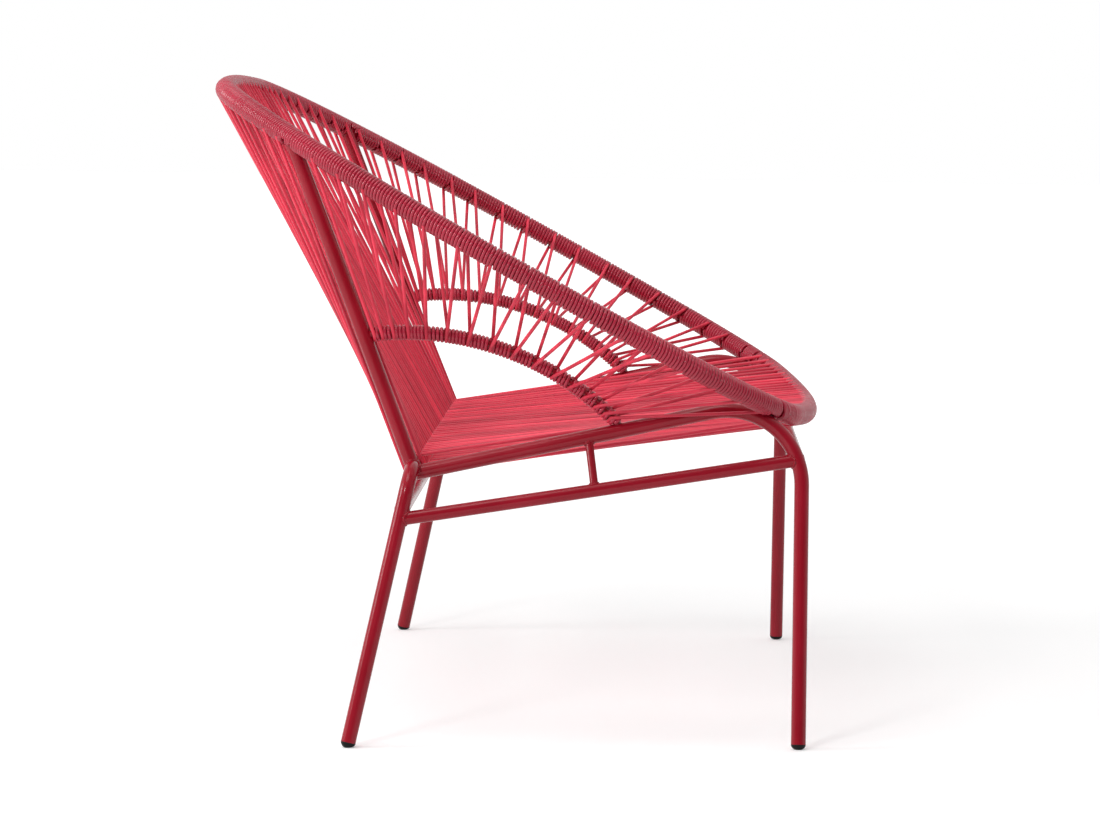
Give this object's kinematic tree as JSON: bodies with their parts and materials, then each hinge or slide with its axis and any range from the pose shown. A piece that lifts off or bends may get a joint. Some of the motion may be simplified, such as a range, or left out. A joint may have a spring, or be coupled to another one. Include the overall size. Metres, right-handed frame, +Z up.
{
  "type": "garden bench",
  "caption": "Loveseat garden bench: a welded tube frame carries a tilted oval rim wound with string, and taut resin string laces the seat, back and sides.",
  "frame": {"origin": "middle of the overall footprint, at floor level", "axes": "+X to the sitter's left, -Y to the front, +Z up"},
  "size_m": [1.2508, 0.7774, 0.7972],
  "materials": {
    "frame_paint": "satin crimson paint",
    "lacing_string": "smooth coral red resin string",
    "foot_rubber": "matt black"
  },
  "bodies": {
    "root": {"back_strings_front": "lacing_string", "back_strings_rear": "lacing_string", "back_upright_left": "frame_paint", "back_upright_right": "frame_paint", "foot_caps_front": "foot_rubber", "foot_caps_rear": "foot_rubber", "front_cross_tube": "frame_paint", "front_leg_left": "frame_paint", "front_leg_right": "frame_paint", "rear_cross_tube": "frame_paint", "rear_frame": "frame_paint", "rim_hoop": "frame_paint", "rim_wrap_back": "lacing_string", "rim_wrap_front": "lacing_string", "rim_wrap_left": "lacing_string", "rim_wrap_right": "lacing_string", "seat_strings_bottom": "lacing_string", "seat_strings_top": "lacing_string", "side_arc_left": "frame_paint", "side_arc_right": "frame_paint", "side_arc_wrap_left": "lacing_string", "side_arc_wrap_right": "lacing_string", "side_stretcher_left": "frame_paint", "side_stretcher_right": "frame_paint", "side_strings_left_inner": "lacing_string", "side_strings_left_outer": "lacing_string", "side_strings_right_inner": "lacing_string", "side_strings_right_outer": "lacing_string", "spacer_strut_left": "frame_paint", "spacer_strut_right": "frame_paint"}
  },
  "joints": []
}
